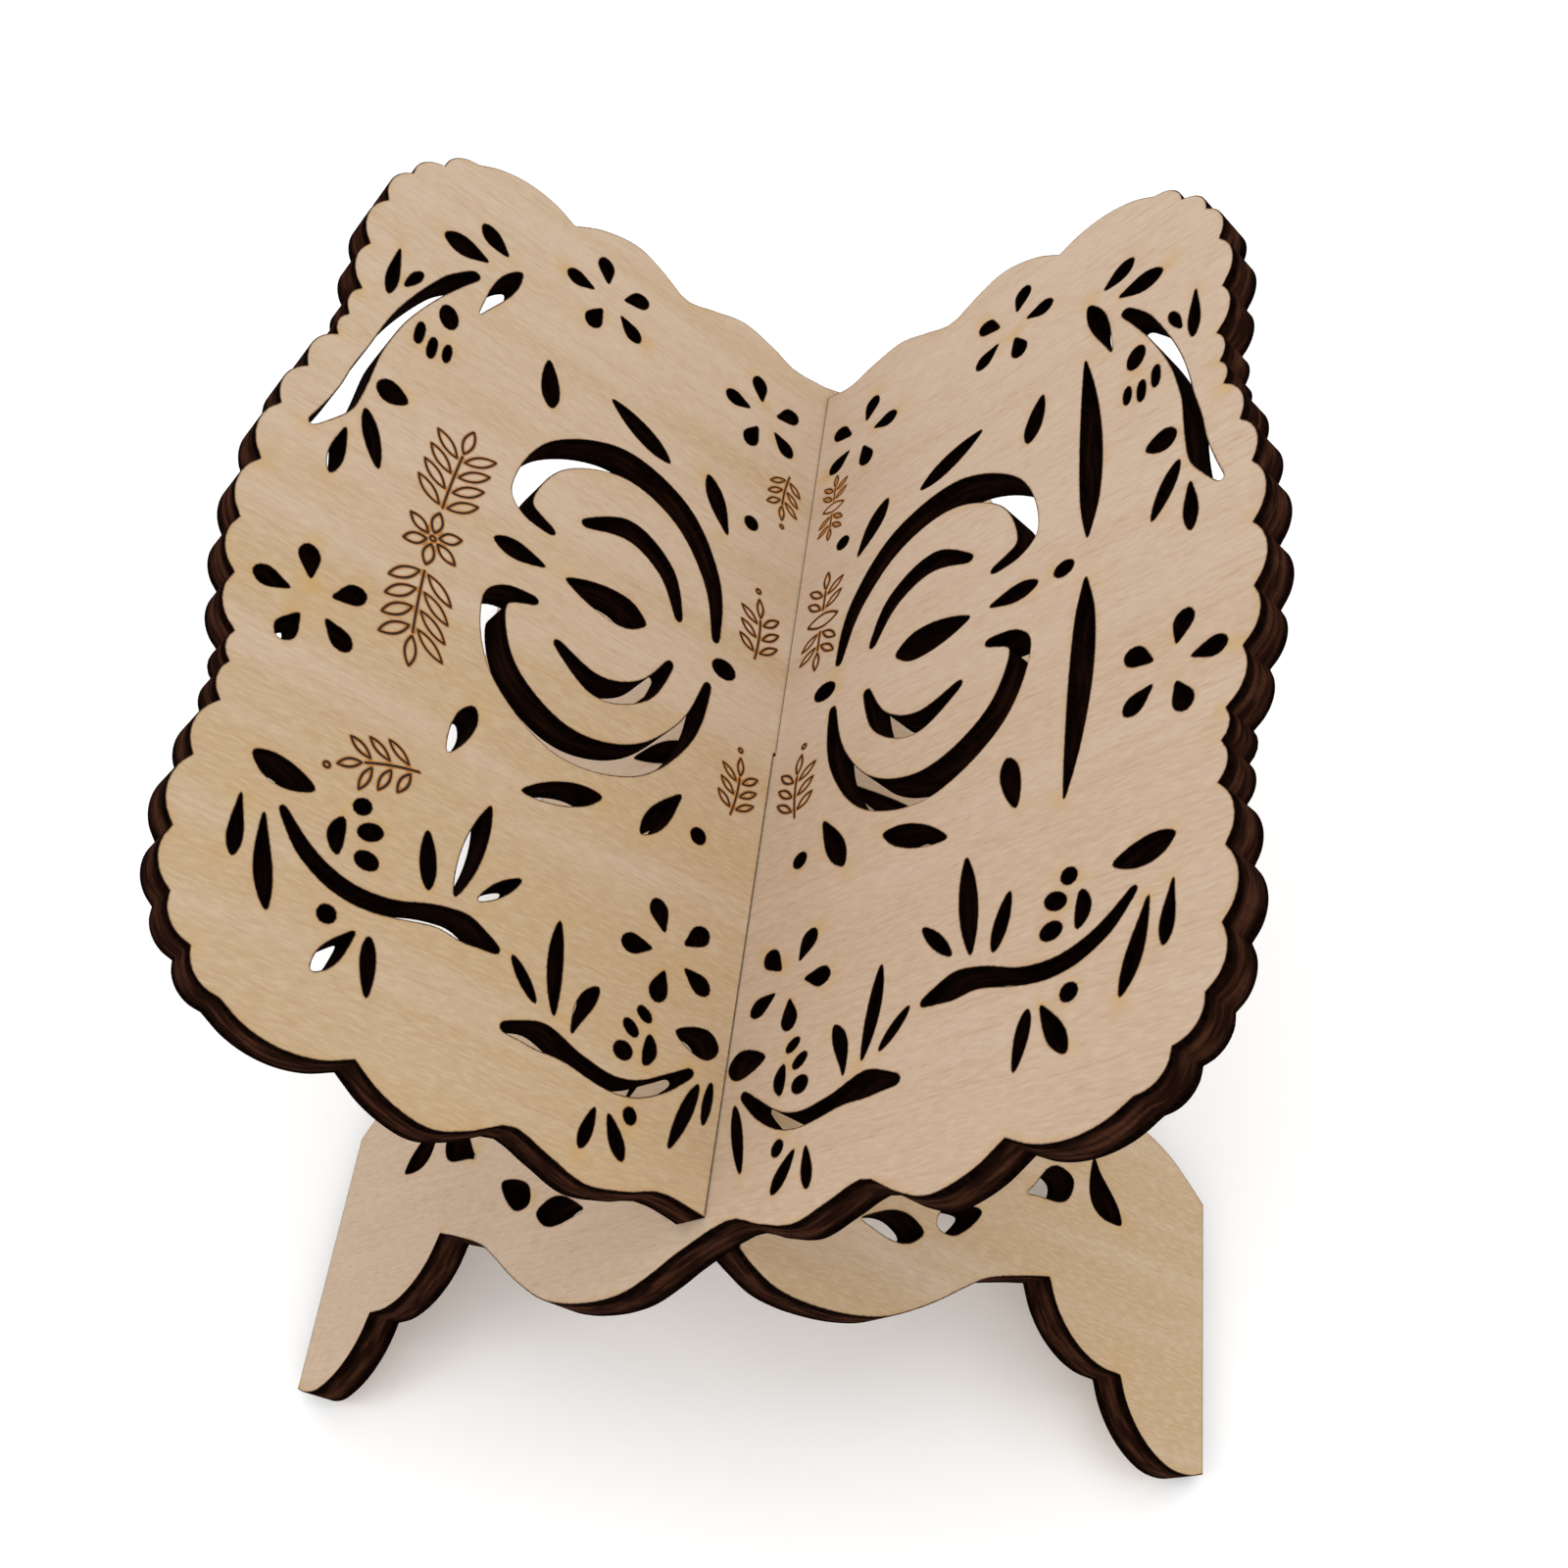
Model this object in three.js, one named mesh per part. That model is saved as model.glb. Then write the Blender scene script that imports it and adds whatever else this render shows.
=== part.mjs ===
// Take-apart book rest (rehal): two pierced plywood boards that cross in an X.
// Each board is one wing of the cradle above the crossing and one pair of feet
// below it. A slot reaches half-way along each board, one from the back edge
// and one from the front edge, and the two slots are pushed into each other.
// Nothing else holds the boards, so they pull apart along the crossing.
//
// Millimetres. +Z up, +Y along the crossing towards the back, +X to the right.
// A board is drawn flat: p runs along the crossing (+ to the back) and
// q runs across it (+ towards the wing's outer edge, - towards the feet).
import * as THREE from "three";

const THICKNESS = 5;
const WING_ANGLE = THREE.MathUtils.degToRad(42);
const CLEARANCE = 0.12;
const SLOT_FLOOR_GAP = 0.3;
const RIGHT_SET_FORWARD = 0.4; // middle of the right board, in front of the slot floors
const LEFT_SET_BACK = 1.5; // middle of the left board, behind the slot floors
const LEFT_SET_OUT = 1.5; // the left board's drawing, further out from its slot than the right's

// The boards cross at twice the wing angle, and each slot's walls lie along
// the faces of the board that passes through it.
const CROSSING = 2 * WING_ANGLE;
const SLOT_HALF = (THICKNESS / 2 + CLEARANCE) / Math.sin(CROSSING);
const SLOT_SLANT = 1 / Math.tan(CROSSING);

const WING_REACH = 74.2; // crossing to the middle of the wing's outer edge
const LEG_REACH = 84.15; // crossing to the soles of the feet
const ARCH_APEX = 43.5; // crossing to the point of the arch between the feet
const BEAD = 0.19; // rise of an edge scallop over its chord
const MEDALLION = 7; // middle of the lyre ornament along the crossing

const SCALLOP_STEPS = 5;
const EDGE_STEPS = 24;
const LEG_STEPS = 12;
const ARCH_STEPS = 13;

const PETALS = 5;
const PETAL = { inner: 2.3, outer: 7.2, wide: 2.6, belly: 0.66 };
const LEAF_BLUNTNESS = 0.8; // 1 is a sine curve, less is blunter
const TOUCH = 1e-3; // points closer than this are the same point
const VENEER = { color: 0xd2b491, roughness: 0.62, metalness: 0 };

// ---- flat curves -----------------------------------------------------------

const at = (p, q) => new THREE.Vector2(p, q);

// Points after `a` up to `b` on a circular arc that rises to the left of a-b
// by `bulge` times the chord.
function arc(a, b, bulge, steps = SCALLOP_STEPS) {
  const chord = b.clone().sub(a);
  const half = 2 * Math.atan(2 * bulge);
  const radius = chord.length() / 2 / Math.sin(half);
  const side = at(-chord.y, chord.x).normalize();
  const centre = a.clone().lerp(b, 0.5).addScaledVector(side, -radius * Math.cos(half));
  const start = a.clone().sub(centre);
  const points = [];
  for (let i = 1; i < steps; i += 1) {
    points.push(start.clone().rotateAround(at(0, 0), (-2 * half * i) / steps).add(centre));
  }
  points.push(b.clone());
  return points;
}

// Points after the first knot on a smooth curve through all knots.
function smooth(knots, steps) {
  return new THREE.SplineCurve(knots).getPoints(steps).slice(1);
}

// A closed leaf from `a` to `b`: `wide` at its fattest, which lies `belly` of
// the way along, bowed to the left of a-b by `bow`.
function leaf(a, b, wide, { bow = 0, belly = 0.5, steps = 5 } = {}) {
  const axis = b.clone().sub(a);
  const side = at(-axis.y, axis.x).normalize();
  const skew = Math.log(0.5) / Math.log(belly);
  const rail = (sign, s) => {
    const swell = Math.sin(Math.PI * s ** skew) ** LEAF_BLUNTNESS;
    const offset = bow * 4 * s * (1 - s) + (sign * wide * swell) / 2;
    return a.clone().addScaledVector(axis, s).addScaledVector(side, offset);
  };
  const points = [a.clone()];
  for (let i = 1; i < steps; i += 1) points.push(rail(1, i / steps));
  points.push(b.clone());
  for (let i = steps - 1; i > 0; i -= 1) points.push(rail(-1, i / steps));
  return points;
}

// A closed band along a smooth curve through `knots`; `widths` are spread
// evenly along it.
function band(knots, widths, steps = 8) {
  const curve = new THREE.SplineCurve(knots);
  const left = [];
  const right = [];
  for (let i = 0; i <= steps; i += 1) {
    const s = i / steps;
    const tangent = curve.getTangent(s);
    const side = at(-tangent.y, tangent.x);
    const place = s * (widths.length - 1);
    const before = Math.min(Math.floor(place), widths.length - 2);
    const half = THREE.MathUtils.lerp(widths[before], widths[before + 1], place - before) / 2;
    const centre = curve.getPoint(s);
    left.push(centre.clone().addScaledVector(side, half));
    right.push(centre.clone().addScaledVector(side, -half));
  }
  return [...left, ...right.reverse()];
}

// A closed oval.
function berry(p, q, long, wide = long, turn = 0, steps = 8) {
  const points = [];
  for (let i = 0; i < steps; i += 1) {
    const t = (2 * Math.PI * i) / steps;
    const point = at((long / 2) * Math.cos(t), (wide / 2) * Math.sin(t));
    points.push(point.rotateAround(at(0, 0), turn).add(at(p, q)));
  }
  return points;
}

// Petals round a point, each a drop with its fat end outward.
function flower(p, q, turnDegrees) {
  const petals = [];
  for (let i = 0; i < PETALS; i += 1) {
    const t = THREE.MathUtils.degToRad(turnDegrees + (360 / PETALS) * i);
    const along = at(Math.cos(t), Math.sin(t));
    const from = at(p, q).addScaledVector(along, PETAL.inner);
    const to = at(p, q).addScaledVector(along, PETAL.outer);
    petals.push(leaf(from, to, PETAL.wide, { belly: PETAL.belly }));
  }
  return petals;
}

// The same shapes reflected in the line p = middle.
function mirrored(shapes, middle = 0) {
  return shapes.map((points) => points.map((v) => at(2 * middle - v.x, v.y)).reverse());
}

// ---- outline ---------------------------------------------------------------

// Half of the wing, from the middle of its outer edge to the waist at the slot,
// whose wall is at q = waist.
function wingHalf(waist) {
  const cusps = [
    at(0, WING_REACH),
    at(8.6, 74.2),
    at(15.6, 72.8),
    at(22.4, 70.8),
    at(26.2, 70.3),
    at(31, 69.9),
    at(38.3, 70.7),
    at(46.7, 70.3),
    at(53.5, 68.5),
    at(58.1, 65),
    at(62.2, 60.8),
  ];
  const points = [cusps[0]];
  for (let i = 1; i < cusps.length; i += 1) points.push(...arc(cusps[i - 1], cusps[i], BEAD));
  const notch = at(63.2, 45.8);
  points.push(...arc(cusps.at(-1), notch, 0.15));
  points.push(
    ...smooth(
      [
        notch,
        at(65.9, 41.7),
        at(67.4, 36.2),
        at(66, 31.4),
        at(63.9, 27),
        at(65.4, 22.4),
        at(67.2, 17),
        at(66.3, 11.4),
        at(65, 7),
        at(65.9, waist),
      ],
      EDGE_STEPS,
    ),
  );
  return points;
}

// Half of the feet, from the slot's other wall at q = waistQ to the point of
// the arch; the soles are at q = -reach.
function legHalf(waistQ, reach) {
  const waist = at(67.9, waistQ);
  const hip = at(56.7, -54.6);
  const ankle = at(66.2, -68.7);
  const toe = at(76.1, -78.3);
  const tip = at(75.5, -reach);
  const heel = at(36.6, -reach);
  const thigh = [waist, at(70.9, -10), at(71.4, -18), at(69.7, -27.2), at(65, -36), at(60, -43.8)];
  const arch = [heel, at(31.5, -78.4), at(28.8, -71), at(26, -62.5), at(18, -55), at(7, -50)];
  return [
    waist,
    ...smooth([...thigh, hip], LEG_STEPS),
    ...arc(hip, ankle, 0.18, 5),
    ...arc(ankle, toe, 0.13, 5),
    ...arc(toe, tip, 0.08, 3),
    heel,
    ...smooth([...arch, at(0, -ARCH_APEX)], ARCH_STEPS),
  ];
}

// The whole edge of a board whose slot opens at its back (+1) or front (-1),
// ends at p = slotFloor and runs along q = -setOut.
function boardOutline(slotSide, slotFloor, setOut) {
  const depth = slotSide * slotFloor;
  const wing = wingHalf(SLOT_HALF - setOut);
  const leg = legHalf(-SLOT_HALF - setOut, LEG_REACH + setOut);
  const slotted = [...wing, at(depth, SLOT_HALF - setOut), at(depth, -SLOT_HALF - setOut), ...leg];
  const whole = [...wing, ...leg];
  const [back, front] = slotSide > 0 ? [slotted, whole] : [whole, slotted];
  const [mirror] = mirrored([front]);
  return [...back, ...mirror.slice(1, -1)].reverse();
}

// ---- pierced ornament --------------------------------------------------------

function backOuterSpray() {
  return [
    leaf(at(47.4, 55.6), at(47.3, 62.5), 3.3, { belly: 0.62 }),
    leaf(at(50.2, 53.2), at(53.2, 58), 2.8, { belly: 0.62, bow: 0.3 }),
    leaf(at(38, 55.2), at(49.6, 51), 2.4, { belly: 0.62, bow: 0.2 }),
    leaf(at(40.8, 67), at(32.3, 66.7), 1.6, { belly: 0.64 }),
    leaf(at(35, 65.2), at(39.3, 63.3), 1.3, { belly: 0.6 }),
    berry(34.8, 58.7, 3.9, 2.7, 0.2),
    berry(29.8, 61.6, 4.5, 1.2),
    berry(28.7, 59.6, 4.4, 1.2),
    berry(29.2, 57.6, 3.8, 1.2),
    band(
      [
        at(44.3, 56.6),
        at(40.6, 59.5),
        at(35.4, 62.3),
        at(29.7, 64.6),
        at(23.7, 66),
        at(18.7, 66.8),
        at(13.5, 67.7),
        at(8.1, 70.5),
      ],
      [1.1, 1.9, 1.7, 1.5, 1.4, 2.3, 2.5, 0.6],
      14,
    ),
    leaf(at(18.8, 64.7), at(18.6, 60.2), 3.3, { belly: 0.38 }),
    leaf(at(14.8, 65.1), at(6.9, 61.3), 2, { belly: 0.45 }),
    leaf(at(10.6, 66.4), at(2.8, 66.6), 1.8, { belly: 0.6 }),
  ];
}

function frontOuterSpray() {
  return [
    leaf(at(-34.8, 65.3), at(-36.1, 57.3), 3.2, { belly: 0.45, bow: -0.4 }),
    leaf(at(-39.7, 64.9), at(-47.5, 63.8), 1.6, { belly: 0.66 }),
    leaf(at(-40.7, 62.1), at(-51.7, 58.8), 1.9, { belly: 0.6, bow: -0.3 }),
    berry(-35.5, 52.2, 2.8, 2, -0.8),
    berry(-38, 50.6, 3.2, 2.2, -1.1),
    berry(-41.4, 50.2, 2.3, 3),
    berry(-49.1, 52.8, 2.2, 2.7),
    leaf(at(-37.3, 53.8), at(-42.5, 53.4), 1.9, { bow: -0.6 }),
    leaf(at(-49.4, 49.2), at(-56, 52.9), 2.2, { belly: 0.6 }),
    leaf(at(-49.3, 47.8), at(-56.6, 46.3), 1.7, { belly: 0.4 }),
    band(
      [
        at(-39.4, 60.6),
        at(-42.9, 57.3),
        at(-45.1, 53.4),
        at(-45.8, 49.5),
        at(-45.3, 45.4),
        at(-44.1, 41.2),
        at(-44.1, 37.4),
        at(-45.1, 32.8),
      ],
      [0.6, 1.7, 2, 2, 1.9, 2.4, 3.3, 0.6],
      14,
    ),
    leaf(at(-41.9, 42.6), at(-34.4, 44.5), 1.9, { belly: 0.45 }),
    leaf(at(-27.9, 37.8), at(-41.3, 39.6), 2.5),
    leaf(at(-35.2, 32), at(-40.4, 37), 1.6),
  ];
}

function frontInnerSpray() {
  return [
    leaf(at(-44.4, 31.6), at(-49.5, 27), 1.4),
    leaf(at(-37.8, 26.4), at(-50.1, 24.7), 1.9, { belly: 0.48, bow: -0.3 }),
    berry(-44.9, 13.3, 3, 1.5, 1),
    berry(-47.2, 14.8, 3.2, 1.6, 0.9),
    berry(-50.3, 15.3, 2.4, 2.7),
    leaf(at(-51.3, 12.3), at(-46.8, 12.2), 1.8, { bow: -0.5 }),
    band(
      [
        at(-49.2, 5.4),
        at(-52, 8.8),
        at(-54.2, 12.6),
        at(-54.7, 16.6),
        at(-53.6, 21.4),
        at(-52.7, 25.8),
        at(-53.4, 31),
      ],
      [0.8, 1.8, 1.9, 1.8, 1.9, 3.3, 0.8],
      12,
    ),
    leaf(at(-51.2, 22.2), at(-43.8, 19.7), 2, { belly: 0.62, bow: 0.5 }),
    berry(-57.6, 12.9, 2.6, 1.8, 0.3),
    leaf(at(-45.5, 2.4), at(-45.3, 9), 3.8, { belly: 0.32 }),
    leaf(at(-50.3, 4.4), at(-60, 7.3), 1.7, { belly: 0.45 }),
    leaf(at(-57.9, 15.9), at(-63.5, 12.7), 1.9, { belly: 0.6 }),
    leaf(at(-57.8, 17.4), at(-63.8, 18.6), 1.6, { belly: 0.6 }),
  ];
}

// A lyre of scrolled bands and leaves, symmetric about p = MEDALLION.
function medallion() {
  const m = MEDALLION;
  const half = [
    band(
      [
        at(m + 3.2, 12.5),
        at(m + 12, 14.5),
        at(m + 20, 21),
        at(m + 22.4, 31),
        at(m + 17, 40.5),
        at(m + 8, 43.5),
        at(m + 5.4, 38),
      ],
      [0.8, 2.6, 4, 4.4, 3.8, 2.8, 0.8],
      18,
    ),
    band(
      [at(m + 3.2, 18.4), at(m + 9.6, 21.6), at(m + 12.6, 28), at(m + 9.4, 35)],
      [0.8, 2.6, 3.2, 0.8],
      10,
    ),
    leaf(at(m + 23.6, 42.6), at(m + 31.5, 44.6), 2.6, { belly: 0.4 }),
    leaf(at(m + 27, 24), at(m + 31.6, 35), 3, { belly: 0.45 }),
    leaf(at(m + 21, 13.4), at(m + 29.6, 18.4), 2.8, { belly: 0.6 }),
    berry(m + 25.8, 10.2, 2.4),
  ];
  return [
    ...half,
    ...mirrored(half, m),
    leaf(at(m, 22.8), at(m, 35.6), 4.6, { belly: 0.38 }),
    leaf(at(m, 38), at(m, 46), 2.6, { belly: 0.6 }),
    berry(m, 10.6, 3, 4),
  ];
}

// Two long blades end to end beyond the lyre.
function bladePair() {
  const m = MEDALLION;
  const blade = leaf(at(m + 2.6, 52.6), at(m + 33, 51), 3.2, { belly: 0.42, bow: 0.7, steps: 6 });
  return [blade, ...mirrored([blade], m), berry(m, 49.4, 2.4, 3)];
}

// Leaves down the feet and a spray over the arch, the same front and back.
function legOrnament() {
  const half = [
    leaf(at(58.8, -21.6), at(57.4, -32.4), 4, { belly: 0.6 }),
    leaf(at(55.9, -34.1), at(51.4, -42), 3.7, { belly: 0.34 }),
    leaf(at(46.6, -49.4), at(41.6, -58.4), 5, { belly: 0.68 }),
    leaf(at(36.8, -62.3), at(45.4, -68.4), 4.6, { belly: 0.6, bow: 1.9 }),
    leaf(at(4.4, -12), at(13.5, -30.5), 3.6, { belly: 0.56, bow: 1.6 }),
    leaf(at(14, -10.4), at(24.5, -33.5), 3.4, { belly: 0.5, bow: 2.4 }),
    leaf(at(27, -9), at(45.5, -17.5), 2.8, { belly: 0.5, bow: 1.4 }),
    leaf(at(29.4, -22), at(34.4, -44), 3.2, { belly: 0.5, bow: 2 }),
    leaf(at(41, -27), at(42.6, -40), 2.6, { belly: 0.45, bow: 0.8 }),
  ];
  return [...half, ...mirrored(half), leaf(at(0, -9), at(0, -33), 4.2, { belly: 0.62 })];
}

// A thin leaf in the strip beside the front half of the slot.
const slotLeaf = () => leaf(at(-49.3, 2.7), at(-55.7, 3.1), 1.2);

function boardOrnament() {
  return [
    ...flower(52.5, 11, 18),
    ...flower(54.7, 38.3, 18),
    ...flower(-14, 64.1, 18),
    ...flower(-35.9, 11.3, 28),
    ...backOuterSpray(),
    ...frontOuterSpray(),
    ...frontInnerSpray(),
    ...medallion(),
    ...legOrnament(),
  ];
}

// ---- boards ------------------------------------------------------------------

// Leans the slot's two walls over, so that they lie along the other board.
function slantSlot(geometry, slotSide, slotFloor) {
  const points = geometry.getAttribute("position");
  for (let i = 0; i < points.count; i += 1) {
    const inSlot = slotSide * (points.getX(i) - slotFloor) > -TOUCH;
    const onWall = Math.abs(Math.abs(points.getY(i)) - SLOT_HALF) < TOUCH;
    if (!inSlot || !onWall) continue;
    points.setY(i, points.getY(i) + slotSide * SLOT_SLANT * points.getZ(i));
  }
}

// A flat board. `middle` is its own middle measured from the slot floors.
function makeBoard(name, slotSide, middle, setOut, ornament) {
  const slotFloor = (-slotSide * SLOT_FLOOR_GAP) / 2 - middle;
  const shape = new THREE.Shape(boardOutline(slotSide, slotFloor, setOut));
  shape.holes = ornament.map((points) => new THREE.Path(points));
  const geometry = new THREE.ExtrudeGeometry(shape, { depth: THICKNESS, bevelEnabled: false });
  geometry.translate(0, setOut, -THICKNESS / 2);
  slantSlot(geometry, slotSide, slotFloor);
  const board = new THREE.Mesh(geometry, new THREE.MeshStandardMaterial(VENEER));
  board.name = name;
  return board;
}

// Stands a flat board up: side +1 leans its wing to the right, -1 to the left.
function lean(board, side, middle) {
  const along = new THREE.Vector3(0, 1, 0);
  const across = new THREE.Vector3(side * Math.cos(WING_ANGLE), 0, Math.sin(WING_ANGLE));
  const normal = along.clone().cross(across);
  const stance = new THREE.Matrix4().makeBasis(along, across, normal);
  const height = LEG_REACH * Math.sin(WING_ANGLE) + (THICKNESS / 2) * Math.cos(WING_ANGLE);
  board.geometry.applyMatrix4(stance);
  board.position.set(0, middle, height);
  return board;
}

const centring = (RIGHT_SET_FORWARD - LEFT_SET_BACK) / 2;
const rightFlat = makeBoard("right_board", 1, -RIGHT_SET_FORWARD, 0, [...boardOrnament(), ...bladePair()]);
const leftFlat = makeBoard("left_board", -1, LEFT_SET_BACK, LEFT_SET_OUT, [...boardOrnament(), slotLeaf()]);
const rightBoard = lean(rightFlat, 1, -RIGHT_SET_FORWARD + centring);
const leftBoard = lean(leftFlat, -1, LEFT_SET_BACK + centring);

const stand = new THREE.Group();
stand.name = "quran_stand";
stand.add(rightBoard, leftBoard);

export default stand;
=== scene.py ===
"""Looks of a slotted plywood book rest: two laser-cut boards on a pale floor.

Each board is drawn again over its CAD solid. Its cut edges are read from the
solid's upper and lower faces, smoothed, and filled with a fine mesh that has
rounded arrises, burnt walls and shallow engraved leaves.

Blender units are metres. Flat drawings are in millimetres: p runs along the
crossing (+Y), q across the board towards the wing's outer edge, and n out of
the face that the book rests on.
"""

import math

import bmesh
import bpy
import numpy as np
from mathutils import Matrix, Vector
from mathutils.geometry import delaunay_2d_cdt


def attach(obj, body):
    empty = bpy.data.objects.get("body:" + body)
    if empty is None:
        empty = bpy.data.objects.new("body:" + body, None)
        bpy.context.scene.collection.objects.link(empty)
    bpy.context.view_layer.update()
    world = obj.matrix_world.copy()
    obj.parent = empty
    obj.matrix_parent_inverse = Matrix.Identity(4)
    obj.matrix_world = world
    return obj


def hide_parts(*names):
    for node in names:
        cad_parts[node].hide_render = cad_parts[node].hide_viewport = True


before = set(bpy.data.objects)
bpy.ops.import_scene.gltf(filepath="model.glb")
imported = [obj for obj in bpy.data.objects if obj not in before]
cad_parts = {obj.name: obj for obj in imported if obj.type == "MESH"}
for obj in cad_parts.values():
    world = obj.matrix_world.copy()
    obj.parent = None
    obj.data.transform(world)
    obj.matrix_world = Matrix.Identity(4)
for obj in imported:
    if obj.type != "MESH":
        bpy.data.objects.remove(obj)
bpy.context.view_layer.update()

MM = 0.001
THICKNESS = 5.0
HALF = THICKNESS / 2
WING_ANGLE = math.radians(42)
SIDES = {"right_board": 1, "left_board": -1}  # the way each wing leans along X

CUT_SPACING = 0.6  # between points along a cut edge
ARRIS = 0.07  # rounding where a cut meets a face
OUTLINE_CORNERS = math.radians(35), math.radians(17)  # turns kept sharp: outward, inward
HOLE_CORNERS = math.radians(100), math.radians(100)
SHARP_EDGE = math.radians(35)  # between neighbouring mesh faces
TIP_ROUNDING = 2  # smoothing passes on the pierced shapes
PROBE = 0.05  # step off a cut to see which side is wood

HALO_RINGS = (0.3, 0.9)  # rows of points beside a cut, for the scorch
LINE_RING = 0.28  # row of points beside an engraved line, where its amber tint ends
GRID = 2.4  # spacing of points on the open face
GRID_JITTER = 0.3  # share of that spacing by which a point may stray
GRID_CLEAR = 1.3  # from a grid point to the nearest cut or line
CROWDED = 0.9  # share of its set distance below which a point is left out
LINE_SLACK = 0.02  # by which points may come nearer to an engraved line

LINE = 0.3  # width of an engraved line
LINE_DEPTH = 0.12
LINE_SPACING = 0.4  # between points along a stem
CAP_POINTS = 4  # round each end of a stem
LEAF_POINTS = 24
DOT_POINTS = 12
LEAF_TURN = 0.92  # from a stem to the leaves beside it, in radians

MARKS_ON_OUTLINE = 24  # sharpest turns that may carry a smoke mark
MARKS_ON_HOLE = 2
MARK_SHARE = 0.45  # of those turns that do
MARK_REACH = 1.0, 2.6
MARK_DRIFT = 0.4  # share of its reach by which a mark lies off its tip
MARK_STRENGTH = 0.35, 1.0

REACH = 4.0  # distances are measured up to here
FAR = 99.0  # stands for any distance past that
TINY = 1e-12  # keeps a division from being by zero
MERGE = 1e-6  # points nearer than this would be one
CHUNK = 400  # points measured at a time, to save memory

FACE, OUTER_EDGE, ENGRAVED, PIERCED_EDGE = range(4)  # material slots of a board
rng = np.random.default_rng(7)


# ---- plane geometry ------------------------------------------------------------


def resample(points, spacing):
    """An open line's points, about `spacing` apart."""
    steps = np.linalg.norm(np.diff(points, axis=0), axis=1)
    along = np.concatenate([[0], np.cumsum(steps)])
    count = max(2, int(math.ceil(along[-1] / spacing)) + 1)
    wanted = np.linspace(0, along[-1], count)
    return np.column_stack([np.interp(wanted, along, column) for column in points.T])


def line_normals(points, closed):
    """Unit normals to the left of a line at each point."""
    if closed:
        tangent = np.roll(points, -1, axis=0) - np.roll(points, 1, axis=0)
    else:
        tangent = np.gradient(points, axis=0)
    tangent /= np.maximum(np.linalg.norm(tangent, axis=1), TINY)[:, None]
    return np.column_stack([-tangent[:, 1], tangent[:, 0]])


def near_chunks(points, loop, reach):
    """Numbers of the points within `reach` of a loop's box, some at a time."""
    low, high = loop.min(axis=0) - reach, loop.max(axis=0) + reach
    near = np.where(np.all((points > low) & (points < high), axis=1))[0]
    return np.array_split(near, max(1, len(near) // CHUNK))


def inside(points, loop):
    """Which points lie inside a closed loop."""
    found = np.zeros(len(points), dtype=bool)
    x0, y0 = loop.T
    x1, y1 = np.roll(x0, -1), np.roll(y0, -1)
    rise = np.where(y1 == y0, TINY, y1 - y0)
    for chunk in near_chunks(points, loop, 0):
        x, y = points[chunk].T[..., None]
        spans = (y0 > y) != (y1 > y)
        crossing = spans & (x < x0 + (y - y0) / rise * (x1 - x0))
        found[chunk] = np.sum(crossing, axis=1) % 2 == 1
    return found


def distance(points, loops):
    """Distance from each point to the nearest of the closed loops, where that is
    less than REACH."""
    best = np.full(len(points), FAR)
    for loop in loops:
        run = np.roll(loop, -1, axis=0) - loop
        length2 = np.maximum(np.sum(run * run, axis=1), TINY)
        for chunk in near_chunks(points, loop, REACH):
            offset = points[chunk][:, None, :] - loop[None]
            t = np.clip(np.sum(offset * run, axis=2) / length2, 0, 1)
            gap = np.linalg.norm(offset - t[..., None] * run, axis=2).min(axis=1)
            best[chunk] = np.minimum(best[chunk], gap)
    return best


def area(loop):
    """Signed area of a closed loop, positive when it runs counter-clockwise."""
    ahead = np.roll(loop, -1, axis=0)
    return np.sum(loop[:, 0] * ahead[:, 1] - loop[:, 1] * ahead[:, 0]) / 2


def turning(points):
    """Angle by which a closed loop turns to the left at each point."""
    before = points - np.roll(points, 1, axis=0)
    after = np.roll(points, -1, axis=0) - points
    cross = before[:, 0] * after[:, 1] - before[:, 1] * after[:, 0]
    return np.arctan2(cross, np.sum(before * after, axis=1))


def spline(a, b, c, d, t):
    """Catmull-Rom curve from b at t = 0 to c at t = 1."""
    square = (2 * a - 5 * b + 4 * c - d) * t**2
    cube = (3 * b - a - 3 * c + d) * t**3
    return 0.5 * (2 * b + (c - a) * t + square + cube)


def refine(loop, left_corner, right_corner):
    """A finer closed loop through the same points, smooth except where it turns
    further than the given angles."""
    turn = turning(loop[:, :2])
    sharp = (turn > left_corner) | (turn < -right_corner)
    count = len(loop)
    fine = []
    for i in range(count):
        b, c = loop[i], loop[(i + 1) % count]
        a = 2 * b - c if sharp[i] else loop[i - 1]
        d = 2 * c - b if sharp[(i + 1) % count] else loop[(i + 2) % count]
        steps = max(1, int(round(np.linalg.norm((c - b)[:2]) / CUT_SPACING)))
        fine += [spline(a, b, c, d, k / steps) for k in range(steps)]
    return np.array(fine)


def soften(loop, passes):
    """Rounds a loop's tips a little, as the laser's own width does."""
    for _ in range(passes):
        loop = 0.5 * loop + 0.25 * (np.roll(loop, 1, axis=0) + np.roll(loop, -1, axis=0))
    return loop


# ---- the frame's boards ------------------------------------------------------------


def board_axes(side):
    """Unit vectors along q and n of a board."""
    across = np.array([side * math.cos(WING_ANGLE), 0, math.sin(WING_ANGLE)])
    up = np.array([-side * math.sin(WING_ANGLE), 0, math.cos(WING_ANGLE)])
    return across, up


def crossing_height(node, side):
    """Height in mm of the line where the boards' middle planes cross."""
    up = board_axes(side)[1]
    out = np.array([v.co[:] for v in node.data.vertices]) @ up / MM
    return (out.min() + out.max()) / 2 / math.cos(WING_ANGLE)


def flat_points(node, side, height):
    """The solid's vertices as (p, q, n), rounded so that shared ones are equal."""
    across, up = board_axes(side)
    world = np.array([v.co[:] for v in node.data.vertices]) / MM - np.array([0, 0, height])
    return np.round(np.column_stack([world[:, 1], world @ across, world @ up]), 3)


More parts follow.
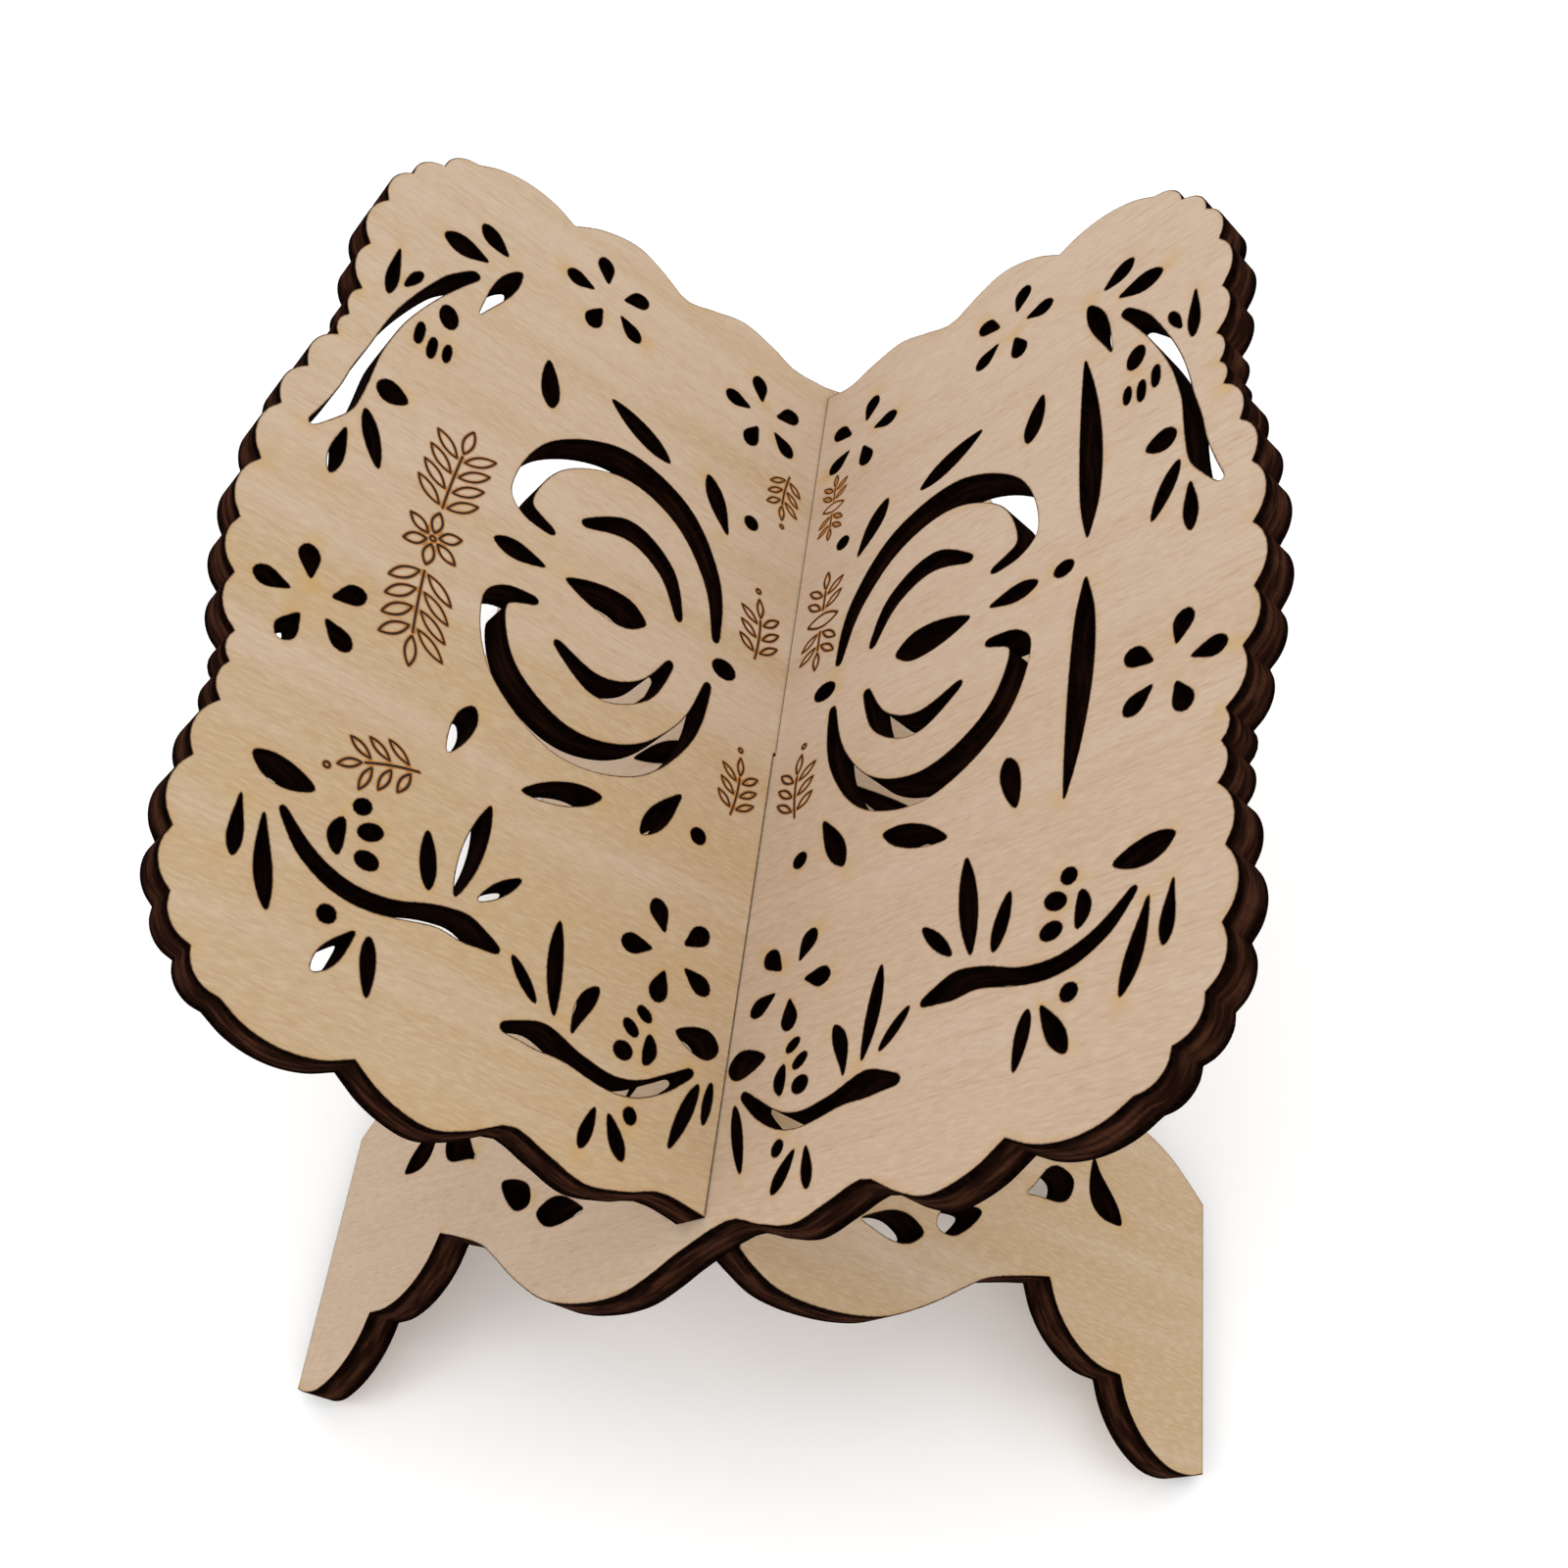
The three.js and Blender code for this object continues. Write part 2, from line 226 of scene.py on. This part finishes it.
def face_loops(node, flat):
    """Closed loops round the solid's upper face, the outline first. Each point is
    half-way to its partner on the lower face, with the step from there to the upper."""
    sides = []
    for polygon in node.data.polygons:
        points = [tuple(flat[v]) for v in polygon.vertices]
        if min(point[2] for point in points) > 0:
            sides += zip(points, points[1:] + points[:1])
    known = set(sides)
    following = {a: b for a, b in sides if (b, a) not in known}
    lower = np.array(sorted({tuple(row[:2]) for row in flat if row[2] < 0}))
    loops = []
    while following:
        first, point = following.popitem()
        ring = [first]
        while point != first:
            ring.append(point)
            point = following.pop(point)
        upper = np.array(ring)[:, :2]
        partner = np.array([lower[np.argmin(np.sum((lower - point) ** 2, axis=1))] for point in upper])
        loops.append(np.column_stack([(upper + partner) / 2, (upper - partner) / 2]))
    return sorted(loops, key=lambda loop: -np.ptp(loop[:, 0]))


# ---- engraved leaves ------------------------------------------------------------


def turned(points, angle):
    """Points turned about the origin."""
    c, s = math.cos(angle), math.sin(angle)
    return points @ np.array([[c, s], [-s, c]])


def ribbon(line, half):
    """Closed loop round a line, `half` wide on each side, with round ends."""
    line = resample(line, LINE_SPACING)
    normals = line_normals(line, closed=False)
    turn = np.linspace(0, math.pi, CAP_POINTS + 2)[1:-1, None]

    def cap(end, start):
        return end + half * (np.cos(turn) * start + np.sin(turn) * turned(start, math.pi / 2))

    left, right = line + half * normals, line - half * normals
    return np.concatenate([right, cap(line[-1], -normals[-1]), left[::-1], cap(line[0], normals[0])])


def leaf(p, q, length, wide, angle):
    """A pointed leaf drawn as its outline, lying along `angle`."""
    t = np.linspace(0, 2 * math.pi, LEAF_POINTS, endpoint=False)
    belly = 0.55 * np.sin(t) + 0.45 * np.sin(t) ** 3
    loops = []
    for grow in (LINE / 2, -LINE / 2):
        shape = np.column_stack([(length / 2 + 1.6 * grow) * np.cos(t), (wide / 2 + grow) * belly])
        loops.append(turned(shape, angle) + np.array([p, q]))
    return loops


def dot(p, q, radius):
    """A small ring."""
    t = np.linspace(0, 2 * math.pi, DOT_POINTS, endpoint=False)
    ring = np.column_stack([np.cos(t), np.sin(t)])
    return [size * ring + np.array([p, q]) for size in (radius, radius - LINE)]


def bent(loops, rise):
    """The loops bowed so that they lift by `rise` times p squared."""
    return [np.column_stack([loop[:, 0], loop[:, 1] + rise * loop[:, 0] ** 2]) for loop in loops]


def both_ways(loops):
    """The loops and their mirror images across p = 0."""
    return loops + [loop[::-1] * np.array([-1, 1]) for loop in loops]


def branch(first, pairs, spacing, length, wide, tail=0.3):
    """Pairs of leaves along a stem, the first at p = first, and one leaf at its end.
    The stem starts `tail` before the first pair."""
    last = first + spacing * (pairs - 1)
    loops = [ribbon(np.array([[first - tail, 0.0], [last + 0.6, 0.0]]), LINE / 2)]
    for i in range(pairs):
        p = first + spacing * i + length / 2 * math.cos(LEAF_TURN)
        q = 0.65 + length / 2 * math.sin(LEAF_TURN)
        loops += leaf(p, q, length, wide, LEAF_TURN) + leaf(p, -q, length, wide, -LEAF_TURN)
    return loops + leaf(last + 1.0 + length / 2, 0, 0.9 * length, wide, 0)


def rosette():
    """Six petals round a ring, 8 mm wide."""
    loops = dot(0, 0, 0.5)
    for i in range(6):
        turn = math.pi / 3 * i
        loops += leaf(2.4 * math.cos(turn), 2.4 * math.sin(turn), 2.9, 1.4, turn)
    return loops


def crest():
    """A rosette between two leafy branches, 36 mm long."""
    return rosette() + bent(both_ways(branch(5.2, 4, 2.6, 4.2, 1.4)), -0.004)


def palmette():
    """An upright leaf between two short branches, 17 mm long."""
    return both_ways(branch(2.2, 2, 2.3, 3.0, 1.0)) + leaf(0, 0.2, 5.4, 2.2, math.pi / 2)


def sprig():
    """One leafy twig with a ring at its end, 11 mm long."""
    return bent(branch(-4.4, 3, 2.3, 3.0, 1.0, tail=1.2), 0.02) + dot(5.4, 0.6, 0.5)


# What is engraved on each board: the drawing, its p and q, its turn and its scale.
ENGRAVINGS = {
    "left_board": [
        (crest, 3.0, 54.4, 0.0, 1.0),
        (sprig, 18.0, 7.6, 0.1, 1.0),
        (sprig, 41.0, 7.2, math.pi, 0.85),
        (sprig, -7.5, 7.0, 0.0, 0.9),
        (sprig, -29.0, 54.0, math.pi / 2 + 0.4, 1.0),
    ],
    "right_board": [
        (palmette, 19.2, 8.0, 0.0, 1.0),
        (palmette, 40.2, 7.0, 0.0, 0.72),
        (sprig, -7.0, 7.4, 0.0, 1.0),
    ],
}


def engraved_lines(name):
    """Closed loops round the engraved lines of a board. A point inside an odd
    number of them is sunk."""
    loops = []
    for drawing, p, q, angle, scale in ENGRAVINGS[name]:
        loops += [turned(loop * scale, angle) + np.array([p, q]) for loop in drawing()]
    return loops


# ---- board mesh ------------------------------------------------------------


def wood_normals(cut, is_outline):
    """Unit vectors from each point of a cut into the wood beside it."""
    normals = line_normals(cut, closed=True)
    left_is_inside = inside(cut[:1] + PROBE * normals[:1], cut)[0]
    return normals if left_is_inside == is_outline else -normals


def free_points(cuts, slants, normals, lines):
    """Points beside the cuts and engraved lines and over the open face, with the
    slant of the cut that they lie beside."""
    rows = []
    for cut, slant, into_wood in zip(cuts, slants, normals):
        for ring in HALO_RINGS:
            rows.append((cut + ring * into_wood, slant, ring))
    for line in lines:
        beside = LINE_RING * line_normals(line, closed=True)
        for points in (line + beside, line - beside):
            rows.append((points, np.zeros_like(line), LINE_RING))
    low, high = cuts[0].min(axis=0), cuts[0].max(axis=0)
    p, q = np.meshgrid(np.arange(low[0], high[0], GRID), np.arange(low[1], high[1], GRID))
    grid = np.column_stack([p.ravel(), q.ravel()])
    grid += rng.uniform(-GRID_JITTER, GRID_JITTER, grid.shape) * GRID
    rows.append((grid, np.zeros_like(grid), GRID_CLEAR))
    kept, kept_slants = [], []
    for points, slant, clear in rows:
        room = np.minimum(distance(points, cuts), distance(points, lines) + LINE_SLACK)
        keep = (room > CROWDED * clear) & inside(points, cuts[0])
        kept.append(points[keep])
        kept_slants.append(slant[keep])
    return np.concatenate(kept), np.concatenate(kept_slants)


def burn_marks(plane, cuts):
    """Strength at each point of the smoke left at the tips of some cuts."""
    strength = np.zeros(len(plane))
    for index, cut in enumerate(cuts):
        most = MARKS_ON_OUTLINE if index == 0 else MARKS_ON_HOLE
        tips = np.argsort(-np.abs(turning(cut)))[:most]
        for tip in tips[rng.random(len(tips)) < MARK_SHARE]:
            reach = rng.uniform(*MARK_REACH)
            drift = rng.uniform(-MARK_DRIFT, MARK_DRIFT, 2) * reach
            gap = np.linalg.norm(plane - cut[tip] - drift, axis=1)
            mark = rng.uniform(*MARK_STRENGTH) * np.clip(1 - gap / reach, 0, 1)
            strength = np.maximum(strength, mark)
    return strength


def board_triangles(plane, loops, cuts, lines):
    """Triangles that fill a board's wood, and which of them are sunk. The loops
    number the points of the plane that lie on each cut and line, in order."""
    edges = [edge for ids in loops for edge in zip(ids.tolist(), np.roll(ids, -1).tolist())]
    made = delaunay_2d_cdt([Vector(point) for point in plane], edges, [], 0, MERGE, True)
    points, _, faces, sources = made[:4]
    if len(points) != len(plane):
        raise ValueError("engraved lines or cuts cross each other")
    triangles = np.array([ids[0] for ids in sources])[np.array(faces)]
    middle = plane[triangles].mean(axis=1)
    wood = inside(middle, cuts[0])
    for hole in cuts[1:]:
        wood &= ~inside(middle, hole)
    sunk = np.zeros(len(middle), dtype=bool)
    for line in lines:
        sunk ^= inside(middle, line)
    return triangles[wood], sunk[wood]


def fill_board(cuts, slants, lines):
    """A board's flat vertices, and its polygons with their material slots. With each
    vertex go its distance from a cut and from an engraved line, and its smoke."""
    normals = [wood_normals(cut, index == 0) for index, cut in enumerate(cuts)]
    free, free_slants = free_points(cuts, slants, normals, lines)
    plane = np.concatenate(cuts + lines + [free])
    slant = np.concatenate(slants + [np.zeros_like(line) for line in lines] + [free_slants])
    ends = np.cumsum([len(loop) for loop in cuts + lines])
    loops = np.split(np.arange(ends[-1]), ends[:-1])
    triangles, sunk = board_triangles(plane, loops, cuts, lines)
    rim = np.zeros_like(plane)
    rim[: ends[len(cuts) - 1]] = ARRIS * np.concatenate(normals)
    scorch = distance(plane, cuts)
    smoke = burn_marks(plane, cuts)
    amber = distance(plane, lines)
    vertices, marks, patches = [], [], []

    def layer(ids, n, inset):
        """Adds these plane points at height n and returns their new numbers."""
        first = sum(len(row) for row in vertices)
        flat = plane[ids] + slant[ids] * (n / HALF) + rim[ids] * inset
        vertices.append(np.column_stack([flat, np.full(len(ids), n)]))
        tint = amber[ids] if n > 0 else np.full(len(ids), FAR)
        marks.append(np.column_stack([scorch[ids], tint, smoke[ids]]))
        numbers = np.full(len(plane), -1)
        numbers[ids] = np.arange(first, first + len(ids))
        return numbers

    top = layer(np.unique(triangles[~sunk]), HALF, 1)
    bottom = layer(np.unique(triangles), -HALF, 1)
    floor = layer(np.unique(triangles[sunk]), HALF - LINE_DEPTH, 0)
    patches.append((top[triangles[~sunk]], FACE))
    patches.append((bottom[triangles][:, ::-1], FACE))
    patches.append((floor[triangles[sunk]], ENGRAVED))
    for index, ids in enumerate(loops):
        ahead = np.roll(ids, -1)
        if index < len(cuts):
            levels = [top, layer(ids, HALF - ARRIS, 0), layer(ids, -HALF + ARRIS, 0), bottom]
            slot = OUTER_EDGE if index == 0 else PIERCED_EDGE
        else:
            levels = [top, floor]
            slot = ENGRAVED
        for high, low in zip(levels, levels[1:]):
            patches.append((np.column_stack([high[ids], high[ahead], low[ahead], low[ids]]), slot))
    return np.concatenate(vertices), patches, np.concatenate(marks)


def board_mesh(name, side):
    """A board's mesh, with its flat place and what its veneer's burns are drawn from
    as attributes."""
    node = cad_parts[name]
    height = crossing_height(node, side)
    outline, *holes = face_loops(node, flat_points(node, side, height))
    if area(outline) < 0:
        outline = outline[::-1]
    edges = [refine(outline, *OUTLINE_CORNERS)]
    edges += [soften(refine(hole, *HOLE_CORNERS), TIP_ROUNDING) for hole in holes]
    cuts = [edge[:, :2] for edge in edges]
    slants = [edge[:, 2:] for edge in edges]
    flat, patches, marks = fill_board(cuts, slants, engraved_lines(name))

    across, up = board_axes(side)
    world = np.outer(flat[:, 1], across) + np.outer(flat[:, 2], up)
    world[:, 1] += flat[:, 0]
    world[:, 2] += height
    mesh = bpy.data.meshes.new(name + "_wood")
    polygons = [face for faces, _ in patches for face in faces.tolist()]
    mesh.from_pydata((world * MM).tolist(), [], polygons)
    slots = np.concatenate([np.full(len(faces), slot) for faces, slot in patches])
    mesh.polygons.foreach_set("material_index", slots)
    mesh.polygons.foreach_set("use_smooth", np.isin(slots, (OUTER_EDGE, PIERCED_EDGE)))
    place = mesh.attributes.new("flat", "FLOAT_VECTOR", "POINT")
    place.data.foreach_set("vector", flat.ravel())
    for column, label in enumerate(("scorch", "amber", "smoke")):
        attribute = mesh.attributes.new(label, "FLOAT", "POINT")
        attribute.data.foreach_set("value", marks[:, column])
    face_outward(mesh)
    mesh.set_sharp_from_angle(angle=SHARP_EDGE)
    return mesh


def face_outward(mesh):
    """Turns every polygon to face out of the closed mesh."""
    work = bmesh.new()
    work.from_mesh(mesh)
    bmesh.ops.recalc_face_normals(work, faces=work.faces)
    work.to_mesh(mesh)
    work.free()


# ---- materials ------------------------------------------------------------

MIX_A, MIX_B, MIX_RESULT = 6, 7, 2  # the colour sockets of a Mix node
PLY = 1.25  # spacing of the bands that the plies make on a cut edge
HALF_LENGTH = 75.0  # along the crossing, over which the veneer's tone drifts

VENEER = {  # pale and warm tone of each board
    "right_board": ((0.505, 0.38, 0.285, 1), (0.475, 0.35, 0.25, 1)),
    "left_board": ((0.505, 0.385, 0.28, 1), (0.45, 0.32, 0.185, 1)),
}
STREAK = (0.4, 0.26, 0.15, 1)
PORE = (0.34, 0.21, 0.12, 1)
FLECK = (0.62, 0.49, 0.36, 1)
HAZE = (0.46, 0.27, 0.1, 1)
SMOKE = (0.48, 0.29, 0.08, 1)
SCORCH = (0.045, 0.015, 0.006, 1)
AMBER = (0.36, 0.15, 0.035, 1)
EDGE_DARK = (0.011, 0.004, 0.0025, 1)
EDGE_BROWN = (0.052, 0.0195, 0.0105, 1)
EDGE_RIB = (0.012, 0.0045, 0.003, 1)
# char of a burnt cut, made darker than char alone to paint the shade that falls on cut walls
CHAR_AND_SHADE_DARK = (0.0015, 0.0007, 0.0005, 1)
CHAR_AND_SHADE_LIGHT = (0.007, 0.0028, 0.0019, 1)
LINE_DARK = (0.006, 0.002, 0.001, 1)
LINE_BROWN = (0.04, 0.0135, 0.004, 1)
FLOOR = (0.96, 0.96, 0.96, 1)


class Nodes:
    """Short calls for building one material's nodes."""

    def __init__(self, name):
        self.material = bpy.data.materials.new(name)
        self.material.use_nodes = True
        self.tree = self.material.node_tree
        self.shader = self.tree.nodes["Principled BSDF"]

    def add(self, kind, inputs=(), **settings):
        node = self.tree.nodes.new(kind)
        for key, value in settings.items():
            setattr(node, key, value)
        for key, value in dict(inputs).items():
            self.put(node.inputs[key], value)
        return node

    def put(self, socket, value):
        if isinstance(value, bpy.types.NodeSocket):
            self.tree.links.new(value, socket)
        else:
            socket.default_value = value

    def shaded(self, inputs):
        """The material, once these inputs of its shader are set."""
        for key, value in inputs.items():
            self.put(self.shader.inputs[key], value)
        return self.material

    def attribute(self, name, output):
        return self.add("ShaderNodeAttribute", attribute_name=name).outputs[output]

    def along(self, axis):
        """Flat position in mm along one axis: X for p, Z for n."""
        flat = self.attribute("flat", "Vector")
        return self.add("ShaderNodeSeparateXYZ", {0: flat}).outputs[axis]

    def noise(self, scale, detail=2.0, roughness=0.5, distortion=0.0):
        """Noise with about `scale` features per mm along p, q and n."""
        flat = self.attribute("flat", "Vector")
        place = self.add("ShaderNodeVectorMath", {0: flat, 1: scale}, operation="MULTIPLY")
        inputs = {
            "Vector": place.outputs[0],
            "Scale": 1.0,
            "Detail": detail,
            "Roughness": roughness,
            "Distortion": distortion,
        }
        return self.add("ShaderNodeTexNoise", inputs).outputs["Fac"]

    def span(self, value, low, high, to_low=0.0, to_high=1.0):
        """A smooth change from to_low to to_high while the value goes from low to high."""
        inputs = {0: value, 1: low, 2: high, 3: to_low, 4: to_high}
        return self.add("ShaderNodeMapRange", inputs, interpolation_type="SMOOTHSTEP").outputs[0]

    def math(self, operation, a, b=0.0):
        return self.add("ShaderNodeMath", {0: a, 1: b}, operation=operation).outputs[0]

    def mix(self, amount, a, b):
        inputs = {"Factor": amount, MIX_A: a, MIX_B: b}
        return self.add("ShaderNodeMix", inputs, data_type="RGBA").outputs[MIX_RESULT]

    def bump(self, height, strength, depth):
        inputs = {"Height": height, "Strength": strength, "Distance": depth}
        return self.add("ShaderNodeBump", inputs).outputs["Normal"]


def veneer(name, pale, warm):
    """Raw light veneer: grain along q, short pores, scorched beside the cuts."""
    n = Nodes(name)
    figure = n.noise((0.13, 0.014, 0.0), detail=3.0, distortion=0.5)
    drift = n.span(n.along("X"), -HALF_LENGTH, HALF_LENGTH, 0.14, -0.14)
    base = n.mix(n.span(n.math("ADD", figure, drift), 0.32, 0.68), pale, warm)
    streak = n.noise((1.3, 0.06, 0.0), detail=4.0, roughness=0.65)
    base = n.mix(n.span(streak, 0.45, 0.75, 0.0, 0.38), base, STREAK)
    pores = n.noise((4.6, 0.34, 0.0), roughness=0.55)
    base = n.mix(n.span(pores, 0.56, 0.7, 0.0, 0.32), base, PORE)
    fleck = n.noise((2.6, 0.5, 0.0))
    base = n.mix(n.span(fleck, 0.4, 0.68, 0.0, 0.25), base, FLECK)
    scorch = n.attribute("scorch", "Fac")
    stains = n.noise((0.13, 0.13, 0.0), detail=1.5)
    haze = n.math("DIVIDE", scorch, n.span(stains, 0.48, 0.7, 0.4, 1.6))
    base = n.mix(n.span(haze, 0.0, 1.0, 0.35, 0.0), base, HAZE)
    base = n.mix(n.math("MULTIPLY", n.attribute("smoke", "Fac"), 0.65), base, SMOKE)
    ragged = n.noise((1.6, 1.6, 0.0), detail=3.0)
    char = n.math("ADD", scorch, n.math("MULTIPLY", ragged, 0.28))
    base = n.mix(n.span(char, 0.1, 0.42, 0.96, 0.0), base, SCORCH)
    base = n.mix(n.span(n.attribute("amber", "Fac"), 0.0, LINE_RING, 1.0, 0.0), base, AMBER)
    return n.shaded({
        "Base Color": base,
        "Roughness": n.span(streak, 0.3, 0.7, 0.54, 0.72),
        "Specular IOR Level": 0.1,
        "Normal": n.bump(n.math("SUBTRACT", streak, pores), 0.3, 0.06 * MM),
    })


def burnt_edge(name, brownness):
    """Laser-burnt cut: charred along both faces, and browner plies in the middle
    where `brownness` is high. A low `brownness` paints shade: the wall goes dark nearly all over, as
    inside the pierced holes."""
    n = Nodes(name)
    depth = n.along("Z")
    wander = n.noise((0.12, 0.12, 0.5))
    off_middle = n.math("ABSOLUTE", n.math("ADD", depth, n.span(wander, 0.0, 1.0, -0.8, 0.8)))
    ribs = n.noise((2.3, 2.3, 0.35), detail=4.0, roughness=0.6)
    plies = n.math("SINE", n.math("MULTIPLY", depth, 2 * math.pi / PLY))
    streaks = n.noise((0.2, 0.2, 1.2), detail=2.5)
    brown = n.mix(n.span(streaks, 0.36, 0.66), EDGE_DARK, EDGE_BROWN)
    brown = n.mix(n.span(ribs, 0.35, 0.75, 0.0, 0.4), brown, EDGE_RIB)
    brown = n.mix(n.span(plies, 0.2, 1.0, 0.0, 0.35), brown, EDGE_DARK)
    # char near the faces, darkened with painted shade
    char = n.mix(n.span(ribs, 0.35, 0.7), CHAR_AND_SHADE_DARK, CHAR_AND_SHADE_LIGHT)
    relief = n.math("ADD", ribs, n.math("MULTIPLY", plies, 0.15))
    return n.shaded({
        "Base Color": n.mix(n.span(off_middle, 0.6, 2.0, 1 - brownness, 1.0), brown, char),
        "Roughness": n.span(ribs, 0.3, 0.7, 0.8, 1.0),
        "IOR": 1.02,
        "Normal": n.bump(relief, 0.5, 0.15 * MM),
    })


def engraved_line():
    """Shallow laser line: dark brown, uneven along its length."""
    n = Nodes("engraved_line")
    depth = n.noise((0.9, 0.9, 0.9), detail=3.0)
    return n.shaded({
        "Base Color": n.mix(n.span(depth, 0.35, 0.68), LINE_DARK, LINE_BROWN),
        "Roughness": n.span(depth, 0.3, 0.7, 0.65, 0.85),
        "Normal": n.bump(depth, 0.4, 0.1 * MM),
    })


# ---- pieces ------------------------------------------------------------


def make_boards():
    outer_edge = burnt_edge("burnt_edge", 1.0)
    engraved = engraved_line()
    # walls of the pierced holes: the same burnt edge, darkened all over as painted shade, since little
    # light gets into the holes
    shaded_hole_edge = burnt_edge("hole_edge_painted_shade", 0.35)
    for name, side in SIDES.items():
        face = veneer("veneer_" + name.removesuffix("_board"), *VENEER[name])
        mesh = board_mesh(name, side)
        for material in (face, outer_edge, engraved, shaded_hole_edge):
            mesh.materials.append(material)
        board = bpy.data.objects.new(name + "_wood", mesh)
        bpy.context.collection.objects.link(board)
        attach(board, name)
        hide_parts(name)


def make_floor():
    bpy.ops.mesh.primitive_plane_add(size=6, location=(0, 0, 0))
    floor = bpy.context.object
    floor.name = "floor"
    floor.data.materials.append(Nodes("pale_floor").shaded({"Base Color": FLOOR, "Roughness": 0.9}))


def make_light(name, place, size, power, target):
    data = bpy.data.lights.new(name, "AREA")
    data.shape = "DISK"
    data.size = size
    data.energy = power
    light = bpy.data.objects.new(name, data)
    light.location = place
    light.rotation_euler = (Vector(target) - Vector(place)).to_track_quat("-Z", "Y").to_euler()
    bpy.context.collection.objects.link(light)


def light_studio():
    middle = (0, 0, 0.06)
    make_light("overhead", (0.15, 0.25, 1.3), 1.0, 5, middle)
    make_light("left", (-0.9, -0.3, 0.9), 0.8, 2.5, middle)
    make_light("front", (0.5, -1.1, 0.8), 0.8, 3, middle)
    world = bpy.data.worlds.new("studio")
    world.use_nodes = True
    background = world.node_tree.nodes["Background"]
    background.inputs["Color"].default_value = (1, 1, 1, 1)
    background.inputs["Strength"].default_value = 0.9
    bpy.context.scene.world = world


def make_camera():
    """Close above the reader's edge, looking down into the cradle."""
    data = bpy.data.cameras.new("camera")
    data.lens = 39.2
    data.sensor_width = 36
    data.shift_x = 0.0069
    data.shift_y = 0.0956
    forward = Vector((-0.118, 0.478, -0.870)).normalized()
    right = Vector((0.990, 0.122, -0.067))
    right = (right - forward * right.dot(forward)).normalized()
    up = right.cross(forward)
    turn = Matrix((right, up, -forward)).transposed().to_4x4()
    camera = bpy.data.objects.new("camera", data)
    camera.matrix_world = Matrix.Translation((0.0282, -0.1289, 0.2462)) @ turn
    bpy.context.collection.objects.link(camera)
    bpy.context.scene.camera = camera


make_boards()
make_floor()
light_studio()
make_camera()
bpy.context.scene.view_settings.view_transform = "Standard"

bpy.context.view_layer.update()
